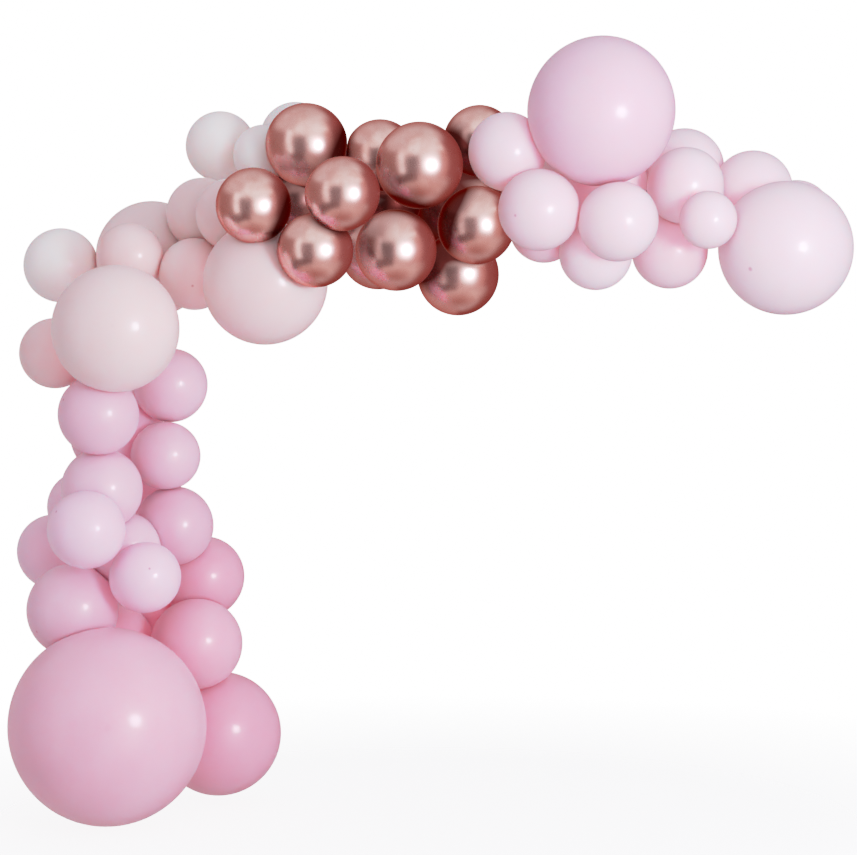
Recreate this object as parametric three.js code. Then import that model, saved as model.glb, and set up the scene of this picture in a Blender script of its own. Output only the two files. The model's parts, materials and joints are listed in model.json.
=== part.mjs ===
// A half-arch balloon garland. Latex balloons of several sizes are tied by their necks along a clear plastic strip
// that climbs a leg, turns a corner and runs out along an arm. Millimetres, +X to the right, +Z up and +Y towards
// the wall behind. The origin is on the back of the strip, where the corner hook holds it.
import * as THREE from 'three';

// The strip
const STRIP_WIDTH = 24;
const STRIP_THICKNESS = 1.2;
const STRIP_STEPS = 48;
const STRIP_TIE_POINTS = 192; // places along the strip where a neck can be tied
const STRIP_ROUTE = [
  [-75, -1540], [-135, -1300], [-165, -1000], [-150, -730], [-155, -460], [-165, -220], [-105, -65],
  [0, 5], [210, 65], [450, 90], [750, 65], [990, 95], [1230, 95], [1500, 110], [1710, 80], [1860, 65],
];

// How the balloons sit against the wall and each other
const CONTACT_GAP = 0.3;
const KNOT_CLEARANCE = 2;
const DEEP_SQUEEZE = 0.8; // closest that two centres come, as a share of the two radii
const SIDE_SQUEEZE = 0.96; // the same for two balloons that meet side by side
const NEIGHBOUR_REACH = 1.35; // centres further apart than this share of the two radii can't touch

// The shape of one balloon, in shares of its radius
const CORNER_SWELL = 1.03; // the corners stand out by this much, because the flat faces between them cut inside
const NECK_LENGTH = 0.2;
const NECK_RADIUS = 0.05;
const NECK_WAIST = 0.1; // how far past the round body the neck is thinnest
const LIP_RADIUS = 0.08;
const LIP_HEIGHT = 0.025;
const NECK_ROOM = 0.1; // free space that the knot needs around it
const SHOULDER_ANGLE = 150; // degrees from the crown, where the round body turns into the neck
const NECK_TRIES = 900;
const CROWDED_PENALTY = 20;
const GOLDEN_ANGLE = Math.PI * (3 - Math.sqrt(5));

// Faces around and along a balloon. The big ones take more.
const BIG_DIAMETER = 300;
const SMALL_FACES = { around: 10, along: 5 };
const BIG_FACES = { around: 14, along: 7 };

const FINISHES = {
  rose: { color: 0xe9a3c0, roughness: 0.42, metalness: 0 },
  pink: { color: 0xeeb5cd, roughness: 0.42, metalness: 0 },
  light_pink: { color: 0xf3cbdd, roughness: 0.42, metalness: 0 },
  blush: { color: 0xf0d3d3, roughness: 0.42, metalness: 0 },
  ivory: { color: 0xeee4e4, roughness: 0.42, metalness: 0 },
  rose_gold: { color: 0xc98b85, roughness: 0.12, metalness: 1 },
  pale_pink: { color: 0xf5d8e2, roughness: 0.42, metalness: 0 },
};
const STRIP_FINISH = { color: 0xe8ecee, roughness: 0.2, metalness: 0 };

// How many balloons of each stretch are tied first. They all settle before any of the rest.
const TIED_FIRST = { leg: 8, corner: 5, chrome: 7, arm: 7 };

// The balloons of each stretch, from the wall outwards: finish, x, z and diameter. Each one lies against those
// that are tied before it. The three that are glued to a neighbour, out of the strip's reach, also have the least
// distance of their centre from the wall.
const STRETCHES = {
  leg: [
    ['rose', -105, -1140, 210],
    ['pink', -115, -770, 205],
    ['rose', 110, -1485, 355],
    ['rose', -170, -1205, 185],
    ['pink', -380, -965, 220],
    ['pink', -280, -830, 210],
    ['pink', -185, -615, 270],
    ['rose', 60, -1035, 240],
    ['pink', -10, -880, 225],
    ['pink', -135, -940, 205],
    ['pink', -270, -1105, 255],
    ['pink', -30, -680, 195],
    ['pink', -20, -480, 210],
    ['rose', 55, -1215, 260],
    ['pink', -185, -770, 225],
    ['pink', -185, -565, 220],
    ['light_pink', -205, -875, 210],
    ['light_pink', -60, -1010, 195],
    ['rose', -155, -1410, 535],
  ],
  corner: [
    ['blush', -85, -110, 330],
    ['ivory', -350, -130, 215, 205],
    ['ivory', 325, 250, 210],
    ['ivory', 105, 225, 205],
    ['ivory', 240, 185, 175],
    ['blush', -315, -395, 195, 490],
    ['blush', 75, 5, 205],
    ['blush', 170, -10, 200],
    ['blush', 60, -170, 200],
    ['blush', 270, -205, 340],
    ['blush', -120, -120, 185],
    ['blush', -125, -335, 340],
  ],
  chrome: [
    ['rose_gold', 805, 55, 265],
    ['rose_gold', 600, 55, 190],
    ['rose_gold', 345, 55, 175],
    ['rose_gold', 570, -100, 215],
    ['rose_gold', 580, 170, 205],
    ['rose_gold', 860, 220, 205],
    ['rose_gold', 800, -160, 235],
    ['rose_gold', 250, -10, 200],
    ['rose_gold', 370, 200, 235],
    ['rose_gold', 415, -130, 200],
    ['rose_gold', 690, 125, 240],
    ['rose_gold', 625, -110, 225],
    ['rose_gold', 850, -30, 220],
    ['rose_gold', 490, 10, 195],
  ],
  arm: [
    ['pale_pink', 1195, 115, 310],
    ['pale_pink', 1045, -30, 200],
    ['pale_pink', 1185, -110, 205],
    ['pale_pink', 1410, -90, 220, 240],
    ['pale_pink', 1460, 155, 240],
    ['pale_pink', 1795, 25, 205],
    ['pale_pink', 1650, 85, 230],
    ['pale_pink', 935, 170, 220],
    ['light_pink', 1190, 270, 410],
    ['pale_pink', 1020, 0, 225],
    ['pale_pink', 1445, 85, 220],
    ['pale_pink', 1235, -35, 220],
    ['pale_pink', 1720, -95, 375],
    ['pale_pink', 1490, -25, 160],
  ],
};

const stripPath = new THREE.CatmullRomCurve3(
  STRIP_ROUTE.map(([x, z]) => new THREE.Vector3(x, -STRIP_THICKNESS / 2, z)),
);

// The least distance between two centres at which the balloon in front still shows its whole round outline, within
// what the two skins give.
function touchingDistance(front, back, across) {
  const sum = front.radius + back.radius;
  const round = 2 * front.radius * across - front.radius ** 2 + back.radius ** 2;
  return THREE.MathUtils.clamp(Math.sqrt(Math.max(0, round)), DEEP_SQUEEZE * sum, SIDE_SQUEEZE * sum);
}

// Pushes each balloon back towards the wall until its knot meets the strip's plane or it presses on an earlier one.
function settle(balloons) {
  const settled = [];
  for (const balloon of balloons) {
    const atWall = balloon.radius * (1 + NECK_LENGTH) + STRIP_THICKNESS + KNOT_CLEARANCE;
    let depth = Math.max(atWall, balloon.offWall);
    for (const back of settled) {
      const across = Math.hypot(balloon.x - back.x, balloon.z - back.z);
      if (across >= SIDE_SQUEEZE * (balloon.radius + back.radius)) continue;
      const distance = touchingDistance(balloon, back, across);
      depth = Math.max(depth, -back.centre.y + Math.sqrt(distance ** 2 - across ** 2));
    }
    settled.push({ ...balloon, centre: new THREE.Vector3(balloon.x, -depth, balloon.z) });
  }
  return settled;
}

// The flat walls of the room that a balloon has: the strip's plane, and one between it and each neighbour, where
// their round bodies cross. A wall is a direction and how far along it the balloon may reach from its centre.
function roomWalls(balloon, balloons) {
  const behind = -balloon.centre.y - STRIP_THICKNESS - CONTACT_GAP;
  const walls = [{ normal: new THREE.Vector3(0, 1, 0), reach: behind }];
  for (const other of balloons) {
    const normal = other.centre.clone().sub(balloon.centre);
    const distance = normal.length();
    if (other === balloon || distance > NEIGHBOUR_REACH * (balloon.radius + other.radius)) continue;
    const crossing = (distance ** 2 + balloon.radius ** 2 - other.radius ** 2) / (2 * distance);
    walls.push({ normal: normal.divideScalar(distance), reach: crossing - CONTACT_GAP / 2 });
  }
  return walls;
}

// Evenly spread directions, as seeds lie on a sunflower head that is wrapped round a ball.
function spreadDirection(index, count) {
  const height = 1 - (2 * index + 1) / count;
  const turn = index * GOLDEN_ANGLE;
  const ring = Math.sqrt(1 - height ** 2);
  return new THREE.Vector3(ring * Math.cos(turn), ring * Math.sin(turn), height);
}

function nearestStripPoint(place) {
  const points = stripPath.getSpacedPoints(STRIP_TIE_POINTS);
  return points.reduce((best, point) => (
    point.distanceToSquared(place) < best.distanceToSquared(place) ? point : best
  ));
}

// The neck points at the strip as nearly as the neighbours let it.
function neckDirection(balloon, walls) {
  const towardsStrip = nearestStripPoint(balloon.centre).sub(balloon.centre).normalize();
  const tip = balloon.radius * (1 + NECK_LENGTH);
  let best = { score: -Infinity };
  for (let index = 0; index < NECK_TRIES; index += 1) {
    const direction = spreadDirection(index, NECK_TRIES);
    const room = Math.min(...walls.map((wall) => wall.reach - tip * wall.normal.dot(direction)));
    const crowding = Math.min(0, room / balloon.radius - NECK_ROOM);
    const score = direction.dot(towardsStrip) + CROWDED_PENALTY * crowding;
    if (score > best.score) best = { score, direction };
  }
  return best.direction;
}

// Half outline from the knot's tip up to the crown, turned about Y.
function balloonProfile(radius, along) {
  const points = [
    new THREE.Vector2(0, -(1 + NECK_LENGTH)),
    new THREE.Vector2(LIP_RADIUS, -(1 + NECK_LENGTH - LIP_HEIGHT)),
    new THREE.Vector2(NECK_RADIUS, -(1 + NECK_WAIST)),
  ];
  for (let step = along; step > 0; step -= 1) {
    const angle = THREE.MathUtils.degToRad((SHOULDER_ANGLE * step) / along);
    points.push(new THREE.Vector2(Math.sin(angle), Math.cos(angle)).multiplyScalar(CORNER_SWELL));
  }
  points.push(new THREE.Vector2(0, CORNER_SWELL));
  return points.map((point) => point.multiplyScalar(radius));
}

// Draws the skin in along its own radius wherever it would pass a wall, which leaves flat contact faces.
function pressFlat(geometry, walls) {
  const positions = geometry.attributes.position;
  const vertex = new THREE.Vector3();
  for (let index = 0; index < positions.count; index += 1) {
    vertex.fromBufferAttribute(positions, index);
    for (const wall of walls) {
      const along = vertex.dot(wall.normal);
      if (along > wall.reach) vertex.multiplyScalar(wall.reach / along);
    }
    positions.setXYZ(index, vertex.x, vertex.y, vertex.z);
  }
}

function balloonMesh(balloon, balloons) {
  const walls = roomWalls(balloon, balloons);
  const crown = neckDirection(balloon, walls).negate();
  const faces = 2 * balloon.radius < BIG_DIAMETER ? SMALL_FACES : BIG_FACES;
  const geometry = new THREE.LatheGeometry(balloonProfile(balloon.radius, faces.along), faces.around);
  geometry.applyQuaternion(new THREE.Quaternion().setFromUnitVectors(new THREE.Vector3(0, 1, 0), crown));
  pressFlat(geometry, walls);
  const mesh = new THREE.Mesh(geometry, new THREE.MeshStandardMaterial(FINISHES[balloon.finish]));
  mesh.name = balloon.name;
  mesh.position.copy(balloon.centre);
  return mesh;
}

// The strip lies flat against the wall, its width across the route.
function stripMesh() {
  const section = new THREE.Shape();
  section.moveTo(-STRIP_THICKNESS / 2, -STRIP_WIDTH / 2);
  section.lineTo(STRIP_THICKNESS / 2, -STRIP_WIDTH / 2);
  section.lineTo(STRIP_THICKNESS / 2, STRIP_WIDTH / 2);
  section.lineTo(-STRIP_THICKNESS / 2, STRIP_WIDTH / 2);
  const geometry = new THREE.ExtrudeGeometry(section, {
    steps: STRIP_STEPS,
    bevelEnabled: false,
    extrudePath: stripPath,
  });
  const mesh = new THREE.Mesh(geometry, new THREE.MeshStandardMaterial(STRIP_FINISH));
  mesh.name = 'garland_strip';
  return mesh;
}

// Every balloon, those that are tied first at the head of the list.
function listBalloons() {
  const balloons = Object.entries(STRETCHES).flatMap(([stretch, rows]) => (
    rows.map(([finish, x, z, diameter, offWall = 0], index) => ({
      name: `${stretch}_${finish}_balloon_${String(index + 1).padStart(2, '0')}`,
      finish,
      x,
      z,
      offWall,
      radius: diameter / 2,
      first: index < TIED_FIRST[stretch],
    }))
  ));
  return [...balloons.filter(({ first }) => first), ...balloons.filter(({ first }) => !first)];
}

const garland = new THREE.Group();
const balloons = settle(listBalloons());
balloons.forEach((balloon) => garland.add(balloonMesh(balloon, balloons)));
garland.add(stripMesh());

export default garland;
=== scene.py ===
"""A half-arch balloon garland: soft latex and rose-gold chrome balloons on a clear strip."""

import json
import math

import bpy
import numpy as np
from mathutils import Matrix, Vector


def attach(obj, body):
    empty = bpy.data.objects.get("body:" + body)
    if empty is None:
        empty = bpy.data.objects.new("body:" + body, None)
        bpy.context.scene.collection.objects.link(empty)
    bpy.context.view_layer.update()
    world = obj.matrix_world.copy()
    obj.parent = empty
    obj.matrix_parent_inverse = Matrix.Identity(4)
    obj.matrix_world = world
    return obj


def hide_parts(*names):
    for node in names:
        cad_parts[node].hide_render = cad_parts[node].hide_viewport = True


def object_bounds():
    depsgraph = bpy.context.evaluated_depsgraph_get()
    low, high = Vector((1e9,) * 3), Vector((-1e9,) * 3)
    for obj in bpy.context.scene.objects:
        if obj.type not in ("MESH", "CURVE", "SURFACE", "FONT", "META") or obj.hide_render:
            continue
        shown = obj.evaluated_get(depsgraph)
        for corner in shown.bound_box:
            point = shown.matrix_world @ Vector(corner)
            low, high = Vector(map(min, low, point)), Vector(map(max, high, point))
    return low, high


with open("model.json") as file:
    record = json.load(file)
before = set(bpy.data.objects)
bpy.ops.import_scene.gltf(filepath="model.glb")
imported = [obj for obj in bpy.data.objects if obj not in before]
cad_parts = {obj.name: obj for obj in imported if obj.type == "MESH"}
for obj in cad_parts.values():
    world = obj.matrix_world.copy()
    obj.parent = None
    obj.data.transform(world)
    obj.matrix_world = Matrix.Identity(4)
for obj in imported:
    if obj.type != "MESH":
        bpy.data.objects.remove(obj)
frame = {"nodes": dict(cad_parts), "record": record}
cad_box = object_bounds()
random = np.random.default_rng(59)

# How the solids show a balloon, in shares of its radius
CORNER_SWELL = 1.03  # their corners stand this far out, because the flat faces between them cut inside
NECK_LENGTH = 0.2
NECK_WAIST = 0.1
NECK_RADIUS = 0.05
LIP_RADIUS = 0.08

# Finding the round body that a solid's corners lie on
CORNER_DECIMALS = 6
FIT_TRIES = 6000
FIT_CORNERS = 4  # each try lays a ball through this many
FIT_TOLERANCE = 0.00005
FIT_FLATTEST = 1e-7
FIT_LARGEST = 0.4

# How balloons press on each other
CONTACT_GAP = 0.0003
STRIP_THICKNESS = 0.0012
NEIGHBOUR_REACH = 1.35
SOFT_EDGE = 0.02  # how gently the skin leaves a contact, as a share of the radius
WALL_FARTHEST = 3  # a wall this many times as far out as the skin doesn't press on it
LEAST_OUTWARD = 1e-9  # for skin that faces away from a wall

# The fine skin, in shares of the radius
BIG_RADIUS = 0.15  # in metres. Balloons from this size on take the finer grid.
SMALL_GRID = {"around": 80, "along": 52}
BIG_GRID = {"around": 128, "along": 80}
CROWN_CROWDING = 1.2  # rows lie closer together towards the crown
SHOULDER_ANGLE = math.radians(138)
SHOULDER_PULL = 0.34
NECK_PULL = 0.1
NECK_ROWS = 14
KNOT_RADIUS = 0.068
KNOT_ROWS = 6
KNOT_END = 0.145
TAIL_ROWS = 5
TAIL_PULL = 0.02
TAIL_HOLLOW = 0.03
LIP_HEIGHT = 0.012
LIP_ROLL = ((0.004, 0.006), (-0.002, 0), (-0.014, 0.006))  # out from the lip's edge and up from its end
FOLD_COUNT = 11
FOLD_DEPTH = 0.012
FOLD_START = 0.8  # the folds begin this far from the middle and end just before the knot
FOLD_RISE = 0.25
FOLD_END = 1.12
FOLD_FALL = 0.03
WOBBLE = 0.006  # how far a hand-blown balloon departs from round
NEARLY_SIDEWAYS = 0.8  # an axis that lies along X this closely can't be crossed with it

# Where the skin is thicker, and so deeper in colour
CROWN_SPOT = 0.045  # as a share of the radius
CROWN_SPOT_FULL = 0.4  # the share of the spot that has its full colour
CROWN_FAINT = 0.08  # how strongly it shows where the photograph doesn't pick it out
CROWN_PLAIN = 0.9
NECK_SHADE_START = 2.5  # radians from the crown
NECK_SHADE_WIDTH = 0.45

# Where a crown shows in the photograph: to the right and up from the balloon's middle, in shares of
# its radius
SEEN_CROWNS = {
    "leg_pink_balloon_11": (-0.67, -0.42),
    "leg_pink_balloon_16": (-0.77, 0.36),
    "leg_light_pink_balloon_17": (-0.67, 0.49),
    "leg_light_pink_balloon_18": (0.25, 0.31),
    "corner_blush_balloon_09": (0.05, -0.40),
    "arm_pale_pink_balloon_10": (-0.62, -0.22),
    "arm_pale_pink_balloon_13": (-0.64, -0.37),
}

# Balloons with a deeper colour than others of their kind: partly a deeper latex where they are blown up less,
# partly painted shade where they lie deep inside the garland, the hidden chrome balloons most of all. How far
# towards the deep colour
DEEPER_AND_SHADED_TONES = {
    "leg_rose_balloon_03": 0.25,
    "leg_pink_balloon_07": 0.3,
    "leg_rose_balloon_08": 0.2,
    "leg_pink_balloon_09": 0.2,
    "leg_pink_balloon_11": 0.1,
    "leg_pink_balloon_12": 0.08,
    "leg_pink_balloon_16": 0.08,
    "corner_blush_balloon_06": 0.2,
    "corner_blush_balloon_10": 0.12,
    "corner_blush_balloon_11": 0.05,
    "chrome_rose_gold_balloon_01": 0.3,
    "chrome_rose_gold_balloon_02": 0.3,
    "chrome_rose_gold_balloon_03": 0.8,
    "chrome_rose_gold_balloon_04": 0.2,
    "arm_pale_pink_balloon_02": 0.3,
    "arm_pale_pink_balloon_04": 0.15,
    "arm_light_pink_balloon_09": 0.12,
}

# Latex. Noise has a scale and a detail, and bump a strength and a distance.
LATEX = {
    "rose_latex": {"pale": (0.90, 0.52, 0.58), "mid": (0.88, 0.46, 0.52), "deep_and_shaded": (0.62, 0.15, 0.22)},
    "pink_latex": {"pale": (0.87, 0.61, 0.67), "mid": (0.85, 0.55, 0.61), "deep_and_shaded": (0.62, 0.19, 0.27)},
    "light_pink_latex": {"pale": (0.93, 0.67, 0.75), "mid": (0.91, 0.61, 0.70), "deep_and_shaded": (0.66, 0.25, 0.33)},
    "blush_latex": {"pale": (0.90, 0.72, 0.67), "mid": (0.88, 0.66, 0.61), "deep_and_shaded": (0.62, 0.31, 0.29)},
    "ivory_latex": {"pale": (0.96, 0.88, 0.81), "mid": (0.95, 0.83, 0.76), "deep_and_shaded": (0.66, 0.50, 0.47)},
    "pale_pink_latex": {"pale": (0.99, 0.73, 0.76), "mid": (0.98, 0.68, 0.71), "deep_and_shaded": (0.68, 0.31, 0.37)},
}
LATEX_LETS_THROUGH = (0.66, 0.48, 0.50)  # how much of a lamp's light one thin skin lets through
LATEX_SURFACE = {
    "Subsurface Weight": 1.0,
    "Subsurface Scale": 0.07,
    "Subsurface Radius": (1.0, 0.35, 0.4),
    "Specular IOR Level": 0.4,
    "Coat Weight": 0.35,
    "Coat Roughness": 0.15,
}
LATEX_CLOUDS = (7, 3)
LATEX_CLOUD_SHARE = (0.2, 0.8)
LATEX_TONE_SHARE = (-0.3, 0.3)  # how much paler or deeper one whole balloon is than the next
LATEX_THICK_SHARE = 0.8
LATEX_GRAIN = (160, 2)
LATEX_ROUGHNESS = (0.36, 0.44)
LATEX_DIMPLES = (30, 2)
LATEX_BUMP = (0.08, 0.004)
NOISE_RANGE = (0.3, 0.7)  # nearly all of a noise lies between these

# Chrome
# The deep colours stand both for thicker skin at the neck and crown and for painted shade: between chrome
# balloons, and on balloons that lie deep inside
CHROME = {"pale": (0.89, 0.62, 0.59), "mid": (0.81, 0.49, 0.45), "deep_and_shaded": (0.11, 0.010, 0.008)}
CHROME_RIM = (0.74, 0.33, 0.28)
CHROME_ROUGHNESS = (0.23, 0.30)
CHROME_PAINTED_SHADE = (0.17, 0.62)  # from where to where the painted shade between chrome balloons deepens
# how far the thicker skin, the deeper balloons and the painted shade go towards the deep colour
CHROME_DEEP_AND_PAINTED_SHADE_SHARE = 0.97
CHROME_STREAKS = (1.6, 2)
CHROME_STREAK_RANGE = (0.35, 0.65)
CHROME_STREAK_SHAPE = (2.4, 2.4, 0.8)  # finer round the balloon than along it, so that they run to the neck
CHROME_CLOUD_SHARE = (0.3, 1)
CHROME_BUMP = (0.05, 0.004)
GRAIN_SHIFT = 20  # how far each balloon's streaks may be moved, so that no two are alike
UNMIRRORED = ("chrome", "arm")  # stretches that don't show in the chrome, so that it mirrors the room

# The strip
STRIP_COLOURS = ((0.93, 0.95, 0.96), (0.86, 0.89, 0.91))
STRIP_SURFACE = {"Transmission Weight": 0.7, "IOR": 1.46}
STRIP_SCUFFS = (90, 3)
STRIP_SCUFF_RANGE = (0.35, 0.7)
STRIP_ROUGHNESS = (0.12, 0.3)

# The photograph's view
CAMERA_PLACE = (0.715, -6.071, -0.600)
CAMERA_LENS = 85
CAMERA_SENSOR = 36

# The lamps
LAMPS = {
    "key_softbox": {"place": (2.85, -3.9, -0.3), "aim": (0.6, -0.3, -0.4), "size": 1.05, "power": 108},
    "arm_fill": {"place": (1.7, -2.6, 0.2), "aim": (1.4, -0.3, 0.0), "size": 2.4, "power": 10},
}
LAMP_TINT = (0.93, 0.95, 1.15)
SHINING_LAMPS = ("key_softbox",)  # the others don't show in a gloss

# The room: colours from straight down, -1, to straight up, 1
SOFT_ROOM = ((-1, (0.54, 0.52, 0.60)), (1, (0.71, 0.70, 0.83)))
MIRRORED_ROOM = (
    (-1, (0.40, 0.17, 0.14)),
    (-0.94, (0.52, 0.29, 0.26)),
    (-0.8, (0.76, 0.56, 0.52)),
    (-0.5, (0.62, 0.45, 0.43)),
    (0.05, (0.70, 0.64, 0.63)),
    (0.55, (1.08, 1.04, 1.04)),
    (0.9, (0.88, 0.83, 0.83)),
    (1, (0.70, 0.64, 0.64)),
)

# The mirrored side behind the garland, which is darker up to a height
MIRRORED_BACK = (0.32, 0.08, 0.06)
MIRRORED_BACK_HEIGHTS = (-0.8, 0.4)
MIRRORED_BACK_BLUR = 0.2
MIRRORED_BACK_TOP = (0.58, 0.49, 0.49)
MIRRORED_BACK_EDGE = (-0.1, 0.6)  # from where to where it sets in, in shares of straight back

# Dark and bright patches of the mirrored room, each painted over those before it: from and to which turn,
# from and to which height, blur and colour. Turns are in radians, from the way to the camera towards the
# picture's right.
MIRRORED_PATCHES = (
    ((1.0, 1.5), (-0.5, 0.70), 0.15, (0.62, 0.32, 0.28)),
    ((1.42, 2.9), (-0.42, 0.80), 0.13, (0.34, 0.10, 0.09)),
    ((-3.2, -2.0), (-0.9, 0.3), 0.15, (0.56, 0.35, 0.33)),
    ((-2.1, -1.05), (-0.5, 0.5), 0.12, (0.38, 0.20, 0.18)),
    ((-1.0, -0.68), (-0.45, 0.55), 0.05, (1.20, 1.10, 1.10)),
    ((-0.68, -0.02), (-0.50, 0.30), 0.06, (0.25, 0.18, 0.18)),
    ((-1.9, -0.1), (-0.76, -0.45), 0.06, (0.20, 0.11, 0.105)),
    ((-2.2, -0.6), (0.50, 0.98), 0.10, (0.72, 0.62, 0.62)),
    ((0.5, 1.3), (0.50, 0.66), 0.05, (1.15, 1.08, 1.08)),
    ((0.22, 0.80), (-0.40, 0.24), 0.15, (1.9, 1.9, 1.9)),
)

# How the picture answers to light: as film does, with a soft shoulder below white
WHITE_LEVEL = 2.0
FILM_SHOULDER = ((0.15, 0.30), (0.275, 0.545), (0.36, 0.66), (0.5, 0.77), (0.6, 0.835), (0.75, 0.91))

# The floor
FLOOR_DROP = 0.004
FLOOR_RADIUS = 2.6
FLOOR_CORNERS = 96
FLOOR_SURFACE = {"Base Color": (0.9, 0.9, 0.9, 1), "Roughness": 0.9}
FLOOR_CLEAR_START = 0.4  # the share of its radius from where it fades out
FLOOR_CLEAR_SHARE = (0.7, 1)

# Places of a colour among a mix node's sockets, and of the curve for all three colours together
MIX_FIRST = 6
MIX_SECOND = 7
MIX_RESULT = 2
WHOLE_CURVE = 3


def unit(vector):
    return vector / np.linalg.norm(vector)


# Reading the solids


def corner_points(node):
    coordinates = np.zeros(3 * len(node.data.vertices))
    node.data.vertices.foreach_get("co", coordinates)
    return np.unique(coordinates.reshape(-1, 3).round(CORNER_DECIMALS), axis=0)


def fit_ball(points):
    """Centre and radius of the ball that most corners lie on, all but those at contacts and on the neck."""
    picks = points[random.integers(0, len(points), (FIT_TRIES, FIT_CORNERS))]
    rows = 2 * (picks[:, 1:] - picks[:, :1])
    right = (picks[:, 1:] ** 2).sum(axis=2) - (picks[:, :1] ** 2).sum(axis=2)
    solid = abs(np.linalg.det(rows)) > FIT_FLATTEST
    centres = np.linalg.solve(rows[solid], right[solid][..., None])[..., 0]
    radii = np.linalg.norm(picks[solid, 0] - centres, axis=1)
    gaps = np.linalg.norm(points[None] - centres[:, None], axis=2) - radii[:, None]
    votes = (abs(gaps) < FIT_TOLERANCE).sum(axis=1) * (radii < FIT_LARGEST)
    best = votes.argmax()
    return centres[best], radii[best]


def read_balloon(name, slot):
    points = corner_points(frame["nodes"][name])
    centre, swollen = fit_ball(points)
    tip = points[np.linalg.norm(points - centre, axis=1).argmax()]
    return {
        "name": name,
        "slot": slot,
        "centre": centre,
        "radius": swollen / CORNER_SWELL,
        "crown": unit(centre - tip),
    }


def room_walls(balloon, balloons):
    """Outward directions and reaches of the walls that a balloon presses on: its neighbours and the strip."""
    normals = [np.array([0.0, 1.0, 0.0])]
    reaches = [-balloon["centre"][1] - STRIP_THICKNESS - CONTACT_GAP]
    for other in balloons:
        across = other["centre"] - balloon["centre"]
        distance = np.linalg.norm(across)
        if other is balloon or distance > NEIGHBOUR_REACH * (balloon["radius"] + other["radius"]):
            continue
        crossing = (distance**2 + balloon["radius"] ** 2 - other["radius"] ** 2) / (2 * distance)
        normals.append(across / distance)
        reaches.append(crossing - CONTACT_GAP / 2)
    return np.array(normals), np.array(reaches)


# The balloons


def bezier(start, start_pull, end_pull, end, count):
    share = np.linspace(0, 1, count + 1)[1:, None]
    left = 1 - share
    return (
        left**3 * start
        + 3 * left**2 * share * start_pull
        + 3 * left * share**2 * end_pull
        + share**3 * end
    )


def half_outline(along):
    """Points from crown to tail for radius 1, as (out from the axis, along it towards the crown)."""
    angles = SHOULDER_ANGLE * (np.arange(1, along + 1) / along) ** CROWN_CROWDING
    body = np.column_stack([np.sin(angles), np.cos(angles)])
    waist = np.array([NECK_RADIUS, -(1 + NECK_WAIST)])
    downhill = np.array([math.cos(SHOULDER_ANGLE), -math.sin(SHOULDER_ANGLE)])
    neck = bezier(body[-1], body[-1] + SHOULDER_PULL * downhill, waist + (0, NECK_PULL), waist, NECK_ROWS)
    turn = np.linspace(0, math.pi, KNOT_ROWS + 1)[1:]
    knot_out = NECK_RADIUS + (KNOT_RADIUS - NECK_RADIUS) * np.sin(turn)
    knot_along = np.linspace(-(1 + NECK_WAIST), -(1 + KNOT_END), KNOT_ROWS + 1)[1:]
    tail = np.array([NECK_RADIUS, -(1 + KNOT_END)])
    edge = np.array([LIP_RADIUS, -(1 + NECK_LENGTH)])
    lip = edge + (0, LIP_HEIGHT)
    flare = bezier(tail, tail - (0, TAIL_PULL), lip - (TAIL_PULL, 0), lip, TAIL_ROWS)
    return np.vstack([body, neck, np.column_stack([knot_out, knot_along]), flare, edge + LIP_ROLL])


def lathe_points(outline, around):
    """A skin for radius 1 with its crown up: the crown, the rows with their folds, the tail's middle."""
    turn = np.linspace(0, 2 * math.pi, around, endpoint=False)
    past_shoulder = np.clip((-outline[:, 1] - FOLD_START) / FOLD_RISE, 0, 1)
    before_knot = np.clip((FOLD_END + outline[:, 1]) / FOLD_FALL, 0, 1)
    depth = FOLD_DEPTH * (past_shoulder * before_knot / np.maximum(outline[:, 0], NECK_RADIUS))
    out = outline[:, :1] * (1 + depth[:, None] * np.cos(FOLD_COUNT * turn))
    along = np.broadcast_to(outline[:, 1:], out.shape)
    rows = np.stack([out * np.cos(turn), out * np.sin(turn), along], axis=2)
    return np.vstack([[[0, 0, 1]], rows.reshape(-1, 3), [[0, 0, TAIL_HOLLOW - (1 + NECK_LENGTH)]]])


def lathe_faces(rows, around):
    """Faces of a lathe: point 0 is the crown, then the rows, then one point that closes the tail."""
    ring = np.arange(around)
    after = (ring + 1) % around
    faces = [(0, 1 + a, 1 + b) for a, b in zip(ring, after)]
    for row in range(rows - 1):
        upper = 1 + row * around
        lower = upper + around
        faces += [(upper + a, lower + a, lower + b, upper + b) for a, b in zip(ring, after)]
    last = 1 + (rows - 1) * around
    faces += [(last + a, last + around, last + b) for a, b in zip(ring, after)]
    return faces


def side_directions(axis):
    """Two directions square to the axis and to each other."""
    helper = np.array([1.0, 0.0, 0.0]) if abs(axis[0]) < NEARLY_SIDEWAYS else np.array([0.0, 0.0, 1.0])
    first = unit(np.cross(axis, helper))
    return first, np.cross(axis, first)


def wobble_factor(directions):
    """A gentle, smooth departure from round, different for each balloon."""
    stretch = random.normal(size=(3, 3))
    stretch = (stretch + stretch.T) / 2
    stretch -= np.eye(3) * np.trace(stretch) / 3
    return 1 + WOBBLE * np.einsum("ij,jk,ik->i", directions, stretch, directions)


def press_on_walls(points, normals, reaches):
    """Draws the skin in wherever it would pass a wall, with a rounded edge round each contact."""
    towards = np.maximum(points @ normals.T, LEAST_OUTWARD)
    limits = np.minimum(reaches / towards, WALL_FARTHEST)
    softened = np.exp((1 - limits) / SOFT_EDGE).sum(axis=1)
    return points * (1 - SOFT_EDGE * np.log1p(softened))[:, None]


def crown_spot(balloon):
    """The direction of the thicker spot and how plainly it shows."""
    if balloon["name"] not in SEEN_CROWNS:
        return balloon["crown"], CROWN_FAINT
    right, up = SEEN_CROWNS[balloon["name"]]
    return np.array([right, -math.sqrt(1 - right**2 - up**2), up]), CROWN_PLAIN


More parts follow.
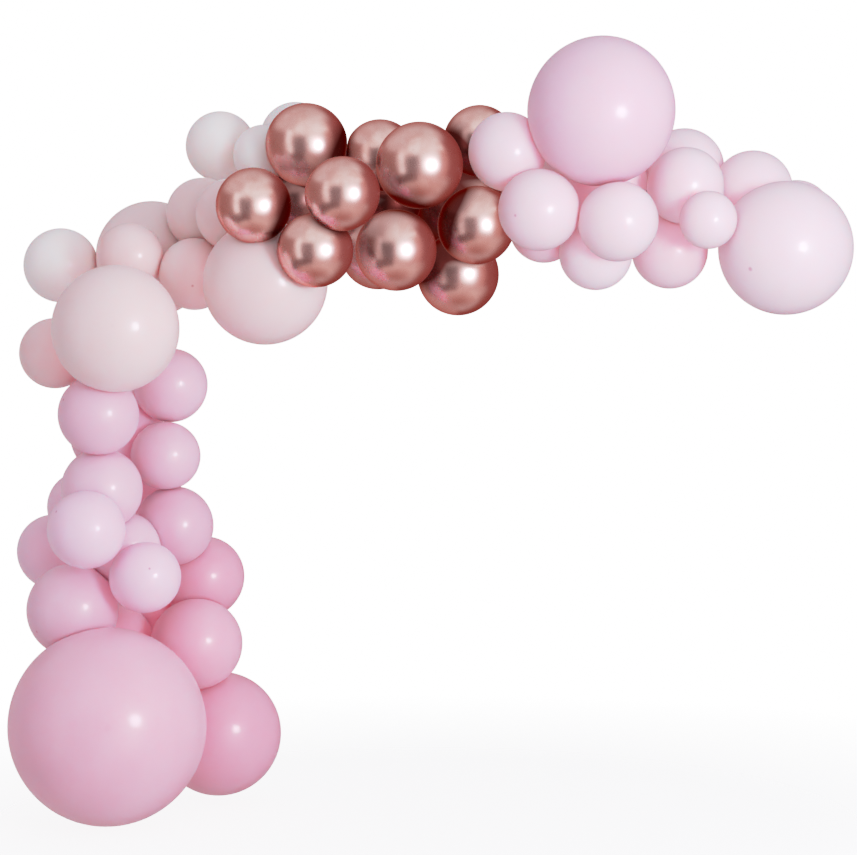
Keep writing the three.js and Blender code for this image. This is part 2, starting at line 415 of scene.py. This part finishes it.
def painted_shade_share(points, balloon, balloons):
    """How much of what a point of the skin faces is taken up by balloons of the same finish, from 0 to 1. The
    chrome paints its shade between balloons from it.
    """
    outward = (points - balloon["centre"]) / np.linalg.norm(points - balloon["centre"], axis=1)[:, None]
    share = np.zeros(len(points))
    for other in balloons:
        if other is balloon or other["slot"] != balloon["slot"]:
            continue
        across = other["centre"] - points
        distance = np.linalg.norm(across, axis=1)
        facing = np.maximum((across * outward).sum(axis=1) / distance, 0)
        share += facing * np.minimum(other["radius"] / distance, 1) ** 2
    return np.minimum(share, 1)


def set_values(mesh, name, values):
    """Gives each point of a mesh a number or a vector, under a name that its material reads."""
    values = np.asarray(values, np.float32)
    kind, field = ("FLOAT_VECTOR", "vector") if values.ndim == 2 else ("FLOAT", "value")
    mesh.attributes.new(name, kind, "POINT").data.foreach_set(field, values.ravel())


def balloon_skin(balloon, balloons):
    """The fine mesh of one balloon, pressed on its neighbours, with the values that its material reads."""
    grid = SMALL_GRID if balloon["radius"] < BIG_RADIUS else BIG_GRID
    outline = half_outline(grid["along"])
    local = lathe_points(outline, grid["around"])
    points = local @ np.array([*side_directions(balloon["crown"]), balloon["crown"]])
    points *= wobble_factor(points / np.linalg.norm(points, axis=1)[:, None])[:, None]
    normals, reaches = room_walls(balloon, balloons)
    points = press_on_walls(points * balloon["radius"], normals, reaches) + balloon["centre"]
    mesh = bpy.data.meshes.new(balloon["name"])
    mesh.from_pydata(points.tolist(), [], lathe_faces(len(outline), grid["around"]))
    mesh.polygons.foreach_set("use_smooth", [True] * len(mesh.polygons))
    from_crown = np.arctan2(np.hypot(local[:, 0], local[:, 1]), local[:, 2])
    spot, strength = crown_spot(balloon)
    everywhere = np.ones(len(points))
    set_values(mesh, "neck_side", np.clip((from_crown - NECK_SHADE_START) / NECK_SHADE_WIDTH, 0, 1) ** 2)
    set_values(mesh, "from_spot", (points - balloon["centre"]) / balloon["radius"] - spot)
    set_values(mesh, "spot_strength", strength * everywhere)
    # painted shade: how closely balloons of the same finish face each point of the skin
    set_values(mesh, "painted_shade", painted_shade_share(points, balloon, balloons))
    set_values(mesh, "tone", random.uniform(-1, 1) * everywhere)
    # a deeper colour for less blown-up balloons, together with painted shade for those deep inside
    set_values(mesh, "deeper_and_shaded", DEEPER_AND_SHADED_TONES.get(balloon["name"], 0) * everywhere)
    set_values(mesh, "grain", local + random.uniform(-GRAIN_SHIFT, GRAIN_SHIFT, 3))
    return mesh


def add_piece(name, mesh, material, node):
    piece = bpy.data.objects.new(name, mesh)
    bpy.context.scene.collection.objects.link(piece)
    mesh.materials.append(material)
    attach(piece, "root")
    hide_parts(node)
    piece.visible_glossy = not name.startswith(UNMIRRORED)


# Materials


def opaque(colour):
    """A colour with full cover. Another node's output stays as it is."""
    return (*colour, 1) if isinstance(colour, tuple) else colour


class Wiring:
    """The nodes of a material or a world, with short calls for the few kinds that are used."""

    def __init__(self, owner):
        owner.use_nodes = True
        self.owner = owner
        self.tree = owner.node_tree

    def node(self, kind, **settings):
        made = self.tree.nodes.new(kind)
        for key, value in settings.items():
            setattr(made, key, value)
        return made

    def fill(self, sockets, values):
        """Gives each socket a constant, or a link where the value is another node's output."""
        for socket, value in zip(sockets, values):
            if isinstance(value, bpy.types.NodeSocket):
                self.tree.links.new(value, socket)
            else:
                socket.default_value = value

    def maths(self, operation, *values):
        made = self.node("ShaderNodeMath", operation=operation)
        self.fill(made.inputs, values)
        return made.outputs["Value"]

    def stretch(self, value, old_range, new_range, **settings):
        """Moves a value from one range to another, and keeps it within the new one."""
        made = self.node("ShaderNodeMapRange", **settings)
        self.fill(made.inputs, (value, *old_range, *new_range))
        return made.outputs["Result"]

    def blend(self, share, first, second):
        """Mixes two colours, each a tuple or another node's output."""
        made = self.node("ShaderNodeMix", data_type="RGBA")
        sockets = (made.inputs["Factor"], made.inputs[MIX_FIRST], made.inputs[MIX_SECOND])
        self.fill(sockets, (share, opaque(first), opaque(second)))
        return made.outputs[MIX_RESULT]

    def choose(self, share, first, second):
        """Mixes two surfaces or two backgrounds."""
        made = self.node("ShaderNodeMixShader")
        self.fill(made.inputs, (share, first, second))
        return made.outputs["Shader"]

    def ray(self, kind):
        return self.node("ShaderNodeLightPath").outputs[kind]

    def place(self, kind):
        return self.node("ShaderNodeTexCoord").outputs[kind]


class Finish(Wiring):
    """A material."""

    def __init__(self, name):
        super().__init__(bpy.data.materials.new(name))
        self.surface = self.tree.nodes["Principled BSDF"]
        self.output = self.tree.nodes["Material Output"]

    def set(self, values):
        for name, value in values.items():
            self.fill((self.surface.inputs[name],), (value,))

    def attribute(self, name, output):
        return self.node("ShaderNodeAttribute", attribute_name=name).outputs[output]

    def noise(self, place, scale, detail):
        made = self.node("ShaderNodeTexNoise")
        sockets = (made.inputs["Vector"], made.inputs["Scale"], made.inputs["Detail"])
        self.fill(sockets, (place, scale, detail))
        return made.outputs["Fac"]

    def length(self, vector):
        made = self.node("ShaderNodeVectorMath", operation="LENGTH")
        self.fill(made.inputs, (vector,))
        return made.outputs["Value"]

    def bump(self, height, strength, distance):
        made = self.node("ShaderNodeBump")
        sockets = (made.inputs["Height"], made.inputs["Strength"], made.inputs["Distance"])
        self.fill(sockets, (height, strength, distance))
        self.set({"Normal": made.outputs["Normal"]})

    def clear(self, share, tint):
        """Lets light through a share of the surface, with the tint."""
        through = self.node("ShaderNodeBsdfTransparent")
        through.inputs["Color"].default_value = opaque(tint)
        mixed = self.choose(share, self.surface.outputs["BSDF"], through.outputs["BSDF"])
        self.fill((self.output.inputs["Surface"],), (mixed,))


def thick_share(finish):
    """How much the skin darkens: all of it at the neck, and a small round spot at the crown."""
    far = finish.length(finish.attribute("from_spot", "Vector"))
    spot = finish.stretch(far, (CROWN_SPOT_FULL * CROWN_SPOT, CROWN_SPOT), (1, 0))
    spot = finish.maths("MULTIPLY", spot, finish.attribute("spot_strength", "Fac"))
    return finish.maths("MAXIMUM", spot, finish.attribute("neck_side", "Fac"))


def latex_material(name, colours):
    """Soft latex, which lets tinted light through, so that the shade behind it isn't grey."""
    finish = Finish(name)
    place = finish.place("Object")
    cloudy = finish.stretch(finish.noise(place, *LATEX_CLOUDS), NOISE_RANGE, LATEX_CLOUD_SHARE)
    tone = finish.stretch(finish.attribute("tone", "Fac"), (-1, 1), LATEX_TONE_SHARE)
    skin = finish.blend(finish.maths("ADD", cloudy, tone), colours["pale"], colours["mid"])
    thick_and_shaded = finish.maths("MULTIPLY", thick_share(finish), LATEX_THICK_SHARE)
    # thicker skin at neck and crown, and painted shade on balloons that lie deep inside
    thick_and_shaded = finish.maths("MAXIMUM", thick_and_shaded, finish.attribute("deeper_and_shaded", "Fac"))
    fine = finish.noise(place, *LATEX_GRAIN)
    finish.set(LATEX_SURFACE)
    finish.set({"Base Color": finish.blend(thick_and_shaded, skin, colours["deep_and_shaded"])})
    finish.set({"Roughness": finish.stretch(fine, NOISE_RANGE, LATEX_ROUGHNESS)})
    finish.bump(finish.noise(place, *LATEX_DIMPLES), *LATEX_BUMP)
    finish.clear(finish.ray("Is Shadow Ray"), LATEX_LETS_THROUGH)
    return finish.owner


def chrome_material(name):
    """A satin mirror with soft streaks, a deeper colour at the thicker neck and crown, and painted shade
    where chrome balloons face each other and on the hidden ones.
    """
    finish = Finish(name)
    grain = finish.attribute("grain", "Vector")
    squeeze = finish.node("ShaderNodeMapping")
    finish.fill((squeeze.inputs["Vector"], squeeze.inputs["Scale"]), (grain, CHROME_STREAK_SHAPE))
    streaks = finish.noise(squeeze.outputs["Vector"], *CHROME_STREAKS)
    streaky = finish.stretch(streaks, CHROME_STREAK_RANGE, (0, 1))
    cloudy = finish.stretch(finish.noise(grain, *CHROME_STREAKS), NOISE_RANGE, CHROME_CLOUD_SHARE)
    skin = finish.blend(finish.maths("MULTIPLY", streaky, cloudy), CHROME["pale"], CHROME["mid"])
    # painted shade where chrome balloons face each other
    painted_shade = finish.stretch(finish.attribute("painted_shade", "Fac"), CHROME_PAINTED_SHADE, (0, 1))
    deep_and_painted_shade = finish.maths("MAXIMUM", thick_share(finish), painted_shade)
    # painted shade on the hidden chrome balloons, and a deeper colour for those blown up less
    deep_and_painted_shade = finish.maths("MAXIMUM", deep_and_painted_shade, finish.attribute("deeper_and_shaded", "Fac"))
    deep_and_painted_shade = finish.maths("MULTIPLY", deep_and_painted_shade, CHROME_DEEP_AND_PAINTED_SHADE_SHARE)
    finish.set({"Metallic": 1.0, "Specular Tint": opaque(CHROME_RIM)})
    finish.set({"Base Color": finish.blend(deep_and_painted_shade, skin, CHROME["deep_and_shaded"])})
    finish.set({"Roughness": finish.stretch(streaks, NOISE_RANGE, CHROME_ROUGHNESS)})
    finish.bump(streaks, *CHROME_BUMP)
    return finish.owner


def strip_material(name):
    finish = Finish(name)
    scuffs = finish.noise(finish.place("Object"), *STRIP_SCUFFS)
    finish.set(STRIP_SURFACE)
    finish.set({"Base Color": finish.blend(scuffs, *STRIP_COLOURS)})
    finish.set({"Roughness": finish.stretch(scuffs, STRIP_SCUFF_RANGE, STRIP_ROUGHNESS)})
    return finish.owner


# The stage


def add_camera():
    data = bpy.data.cameras.new("camera")
    data.lens = CAMERA_LENS
    data.sensor_width = CAMERA_SENSOR
    camera = bpy.data.objects.new("camera", data)
    camera.location = CAMERA_PLACE
    camera.rotation_euler = (math.pi / 2, 0, 0)
    bpy.context.scene.collection.objects.link(camera)
    bpy.context.scene.camera = camera


def add_lamp(name, place, aim, size, power):
    data = bpy.data.lights.new(name, "AREA")
    data.shape = "DISK"
    data.size = size
    data.energy = power
    data.color = LAMP_TINT
    lamp = bpy.data.objects.new(name, data)
    lamp.location = place
    lamp.rotation_euler = (Vector(aim) - Vector(place)).to_track_quat("-Z", "Y").to_euler()
    lamp.visible_camera = False
    lamp.visible_glossy = name in SHINING_LAMPS
    bpy.context.scene.collection.objects.link(lamp)


class Room(Wiring):
    """The world around the garland."""

    def __init__(self, name):
        super().__init__(bpy.data.worlds.new(name))
        self.tree.nodes.clear()

    def band(self, value, limits, blur):
        """1 between two limits and 0 outside them."""
        low, high = limits
        rise = self.stretch(value, (low - blur, low + blur), (0, 1), interpolation_type="SMOOTHSTEP")
        fall = self.stretch(value, (high - blur, high + blur), (1, 0), interpolation_type="SMOOTHSTEP")
        return self.maths("MULTIPLY", rise, fall)

    def ramp(self, value, stops):
        """A colour for each value from -1 to 1."""
        made = self.node("ShaderNodeValToRGB")
        self.fill(made.inputs, (self.maths("MULTIPLY_ADD", value, 0.5, 0.5),))
        elements = made.color_ramp.elements
        while len(elements) < len(stops):
            elements.new(0.5)
        for element, (place, colour) in zip(elements, stops):
            element.position = 0.5 + 0.5 * place
            element.color = opaque(colour)
        return made.outputs["Color"]

    def light(self, colour):
        made = self.node("ShaderNodeBackground")
        self.fill(made.inputs, (colour, 1.0))
        return made.outputs["Background"]


def add_world():
    """White for the camera, soft for matt skins, and a studio with dark and bright sides in a gloss."""
    room = Room("studio")
    bpy.context.scene.world = room.owner
    split = room.node("ShaderNodeSeparateXYZ")
    room.fill(split.inputs, (room.place("Generated"),))
    sideways, inwards, upwards = split.outputs
    turn = room.maths("ARCTAN2", sideways, room.maths("MULTIPLY", inwards, -1))
    behind = room.stretch(inwards, MIRRORED_BACK_EDGE, (0, 1), interpolation_type="SMOOTHSTEP")
    low_behind = room.maths("MULTIPLY", behind, room.band(upwards, MIRRORED_BACK_HEIGHTS, MIRRORED_BACK_BLUR))
    mirrored = room.ramp(upwards, MIRRORED_ROOM)
    mirrored = room.blend(behind, mirrored, MIRRORED_BACK_TOP)
    mirrored = room.blend(low_behind, mirrored, MIRRORED_BACK)
    for turns, heights, blur, colour in MIRRORED_PATCHES:
        share = room.maths("MULTIPLY", room.band(turn, turns, blur), room.band(upwards, heights, blur))
        mirrored = room.blend(share, mirrored, colour)
    soft = room.light(room.ramp(upwards, SOFT_ROOM))
    white = room.light((WHITE_LEVEL, WHITE_LEVEL, WHITE_LEVEL, 1))
    seen = room.choose(room.ray("Is Glossy Ray"), soft, room.light(mirrored))
    seen = room.choose(room.ray("Is Camera Ray"), seen, white)
    room.fill(room.node("ShaderNodeOutputWorld").inputs, (seen,))


def add_floor():
    """A pale floor under the garland's lowest balloon, which fades out before the picture's edge."""
    low, high = cad_box
    middle = ((low[0] + high[0]) / 2, (low[1] + high[1]) / 2, low[2] - FLOOR_DROP)
    bpy.ops.mesh.primitive_circle_add(
        vertices=FLOOR_CORNERS, radius=FLOOR_RADIUS, fill_type="NGON", location=middle
    )
    floor = bpy.context.object
    floor.name = "floor"
    finish = Finish("pale_floor")
    finish.set(FLOOR_SURFACE)
    far = finish.length(finish.place("Object"))
    fade = (FLOOR_CLEAR_START * FLOOR_RADIUS, FLOOR_RADIUS)
    finish.clear(finish.stretch(far, fade, FLOOR_CLEAR_SHARE), (1, 1, 1))
    floor.data.materials.append(finish.owner)
    floor.visible_glossy = False


def set_film():
    settings = bpy.context.scene.view_settings
    settings.view_transform = "Standard"
    settings.use_curve_mapping = True
    mapping = settings.curve_mapping
    mapping.white_level = (WHITE_LEVEL, WHITE_LEVEL, WHITE_LEVEL)
    for place, value in FILM_SHOULDER:
        mapping.curves[WHOLE_CURVE].points.new(place, value)
    mapping.update()


add_camera()
add_world()
for lamp_name, lamp in LAMPS.items():
    add_lamp(lamp_name, **lamp)
add_floor()
set_film()

slots = {part["node"]: part["material_slot"] for part in frame["record"]["subparts"]}
materials = {slot: latex_material(slot, colours) for slot, colours in LATEX.items()}
materials["rose_gold_chrome"] = chrome_material("rose_gold_chrome")
balloons = [read_balloon(name, slot) for name, slot in sorted(slots.items()) if "balloon" in name]
for balloon in balloons:
    skin = balloon_skin(balloon, balloons)
    add_piece(balloon["name"] + "_skin", skin, materials[balloon["slot"]], balloon["name"])
frame["nodes"]["garland_strip"].data.materials.clear()
frame["nodes"]["garland_strip"].data.materials.append(strip_material("clear_strip"))
